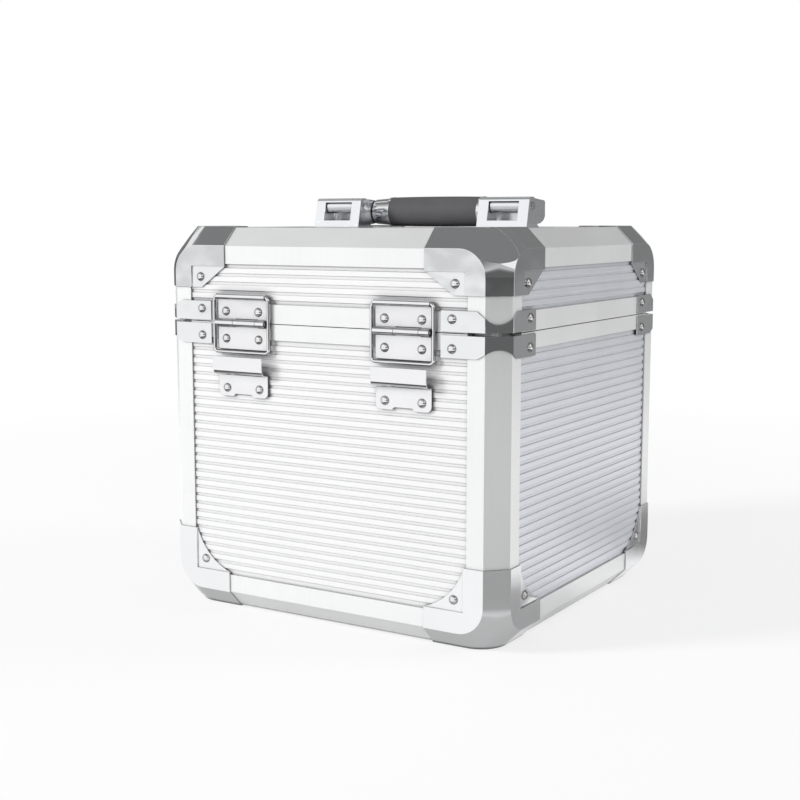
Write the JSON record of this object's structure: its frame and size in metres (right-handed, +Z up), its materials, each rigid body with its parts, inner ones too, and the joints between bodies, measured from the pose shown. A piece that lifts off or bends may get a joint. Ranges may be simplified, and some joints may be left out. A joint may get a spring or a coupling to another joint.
{
  "type": "art supply case",
  "caption": "Cube-like ribbed aluminium art supply case with a bevelled frame, pressed corner caps, a lid on stay hinges, draw latches and a folding top handle.",
  "frame": {"origin": "under the middle of the case, on the plane that its bottom corner caps stand on", "axes": "+Z up, +Y towards the hinge side, +X along the hinge line"},
  "size_m": [0.3084, 0.3119, 0.3261],
  "materials": {
    "ribbed_skin": "satin rolled ribs",
    "plain_skin": "satin",
    "board": "raw fibreboard",
    "frame_alloy": "satin anodised",
    "base_cap_steel": "satin plated",
    "cap_chrome": "bright plated",
    "rivet_steel": "bright domed",
    "lining_felt": "pressed felt",
    "pin_steel": "plain",
    "handle_cast": "satin plated casting",
    "handle_chrome": "bright plated",
    "grip_rubber": "smooth matt",
    "hinge_nickel": "bright nickel plate"
  },
  "bodies": {
    "base": {"base_back_panel": "ribbed_skin", "base_front_panel": "ribbed_skin", "base_left_panel": "ribbed_skin", "base_right_panel": "ribbed_skin", "base_bottom_panel": "plain_skin", "base_boards": "board", "base_posts": "frame_alloy", "base_rails": "frame_alloy", "base_rim": "frame_alloy", "base_tongue": "frame_alloy", "base_corner_caps": "base_cap_steel", "base_corner_brackets": "cap_chrome", "base_rivets": "rivet_steel", "base_lining": "lining_felt", "hinge_lower_leaves": "hinge_nickel", "hinge_pins": "pin_steel", "stay_pockets": "hinge_nickel", "latch_plates": "hinge_nickel", "latch_pins": "pin_steel"},
    "lid": {"lid_back_panel": "ribbed_skin", "lid_front_panel": "ribbed_skin", "lid_left_panel": "ribbed_skin", "lid_right_panel": "ribbed_skin", "lid_top_panel": "ribbed_skin", "lid_boards": "board", "lid_posts": "frame_alloy", "lid_rails": "frame_alloy", "lid_rim": "frame_alloy", "lid_corner_caps": "cap_chrome", "lid_corner_brackets": "cap_chrome", "lid_rivets": "rivet_steel", "lid_lining": "lining_felt", "hinge_upper_leaves": "hinge_nickel", "latch_keepers": "hinge_nickel", "handle_brackets": "handle_cast", "handle_pins": "handle_chrome", "bracket_screws": "pin_steel"},
    "left_stay": {"stay_left": "hinge_nickel"},
    "right_stay": {"stay_right": "hinge_nickel"},
    "handle": {"handle_bar": "handle_chrome", "handle_arms": "handle_cast", "handle_ferrules": "handle_chrome", "handle_grip": "grip_rubber"},
    "left_latch_lever": {"latch_lever_left": "hinge_nickel"},
    "right_latch_lever": {"latch_lever_right": "hinge_nickel"},
    "left_latch_bail": {"latch_bail_left": "hinge_nickel"},
    "right_latch_bail": {"latch_bail_right": "hinge_nickel"}
  },
  "joints": [
    {"name": "lid_hinge", "type": "hinge", "parent": "base", "child": "lid", "pos_m": [0, 0.1481, 0.2286], "axis": [-1, 0, 0], "range_deg": [0, 90]},
    {"name": "handle_pivot", "type": "hinge", "parent": "lid", "child": "handle", "pos_m": [0, -0.0016, 0.3178], "axis": [-1, 0, 0], "range_deg": [0, 90]},
    {"name": "left_stay_pivot", "type": "hinge", "parent": "lid", "child": "left_stay", "pos_m": [-0.072, 0.1475, 0.2488], "axis": [-1, 0, 0], "range_deg": [-60, 0]},
    {"name": "right_stay_pivot", "type": "hinge", "parent": "lid", "child": "right_stay", "pos_m": [0.072, 0.1475, 0.2488], "axis": [-1, 0, 0], "range_deg": [-60, 0]},
    {"name": "left_lever_pivot", "type": "hinge", "parent": "base", "child": "left_latch_lever", "pos_m": [-0.072, -0.151, 0.2166], "axis": [-1, 0, 0], "range_deg": [-8, 122]},
    {"name": "left_bail_pivot", "type": "hinge", "parent": "left_latch_lever", "child": "left_latch_bail", "pos_m": [-0.072, -0.15095, 0.20044], "axis": [-1, 0, 0], "range_deg": [-122, 8]},
    {"name": "right_lever_pivot", "type": "hinge", "parent": "base", "child": "right_latch_lever", "pos_m": [0.072, -0.151, 0.2166], "axis": [-1, 0, 0], "range_deg": [-8, 122]},
    {"name": "right_bail_pivot", "type": "hinge", "parent": "right_latch_lever", "child": "right_latch_bail", "pos_m": [0.072, -0.15095, 0.20044], "axis": [-1, 0, 0], "range_deg": [-122, 8]}
  ],
  "couplings": [
    {"joint": "left_stay_pivot", "follows": "lid_hinge", "ratio": -0.6606},
    {"joint": "right_stay_pivot", "follows": "lid_hinge", "ratio": -0.6606},
    {"joint": "left_bail_pivot", "follows": "left_lever_pivot", "ratio": -1},
    {"joint": "right_bail_pivot", "follows": "right_lever_pivot", "ratio": -1}
  ]
}
